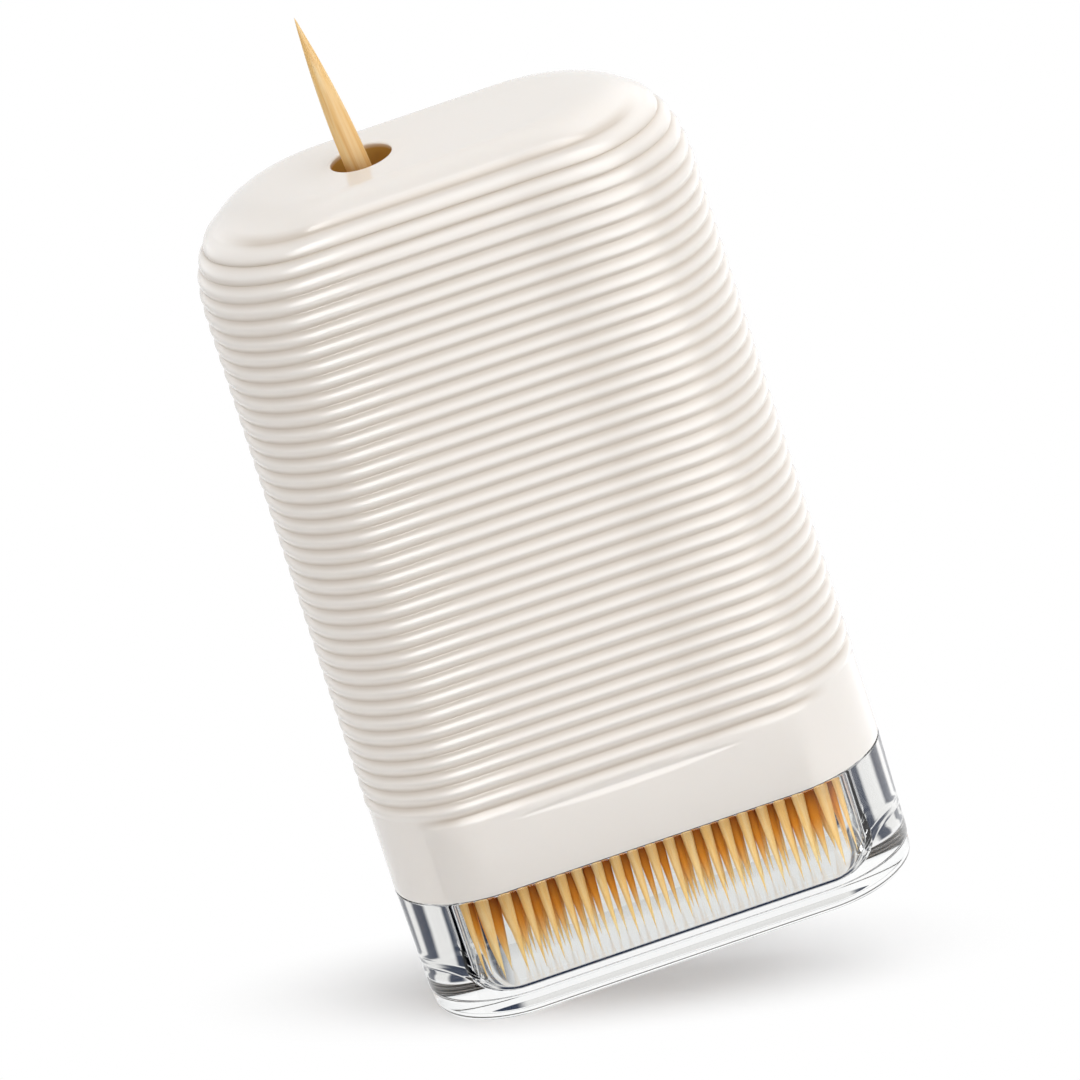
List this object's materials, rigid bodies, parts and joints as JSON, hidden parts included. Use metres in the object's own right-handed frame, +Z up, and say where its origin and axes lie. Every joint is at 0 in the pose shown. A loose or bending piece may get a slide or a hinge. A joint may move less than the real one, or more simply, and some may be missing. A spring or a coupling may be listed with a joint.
{
  "type": "toothpick dispenser",
  "caption": "Flat upright toothpick dispenser: ribbed off-white lift-off cover with a round hole in the top that holds one toothpick, on a thick clear base.",
  "frame": {"origin": "on the table, at the middle of the base's underside", "axes": "+X along the long side, away from the hole; +Y from front to back; +Z up"},
  "size_m": [0.0502, 0.0204, 0.1038],
  "materials": {
    "cover": "moulded, glossy, warm off-white",
    "guide": "moulded, matt",
    "throat": "soft silicone",
    "toothpick": "turned, smooth, pale golden",
    "clear_base": "clear, polished",
    "neck_ring": "translucent soft silicone",
    "loose_toothpicks": "turned, smooth, pale golden"
  },
  "bodies": {
    "base": {"clear_base": "clear_base", "neck_ring": "neck_ring", "toothpick_row_1": "loose_toothpicks", "toothpick_row_2": "loose_toothpicks", "toothpick_row_3": "loose_toothpicks", "toothpick_row_4": "loose_toothpicks", "toothpick_row_5": "loose_toothpicks", "toothpick_row_6": "loose_toothpicks"},
    "cover": {"cover_shell": "cover", "pick_guide": "guide", "throat_ring": "throat"},
    "toothpick": {"dispensed_toothpick": "toothpick"}
  },
  "joints": [
    {"name": "cover_lift", "type": "slide", "parent": "base", "child": "cover", "axis": [0, 0, 1], "range_m": [0, 0.06]},
    {"name": "toothpick_pull", "type": "slide", "parent": "cover", "child": "toothpick", "axis": [-0.0872, 0, 0.9962], "range_m": [-0.014, 0.052]}
  ]
}
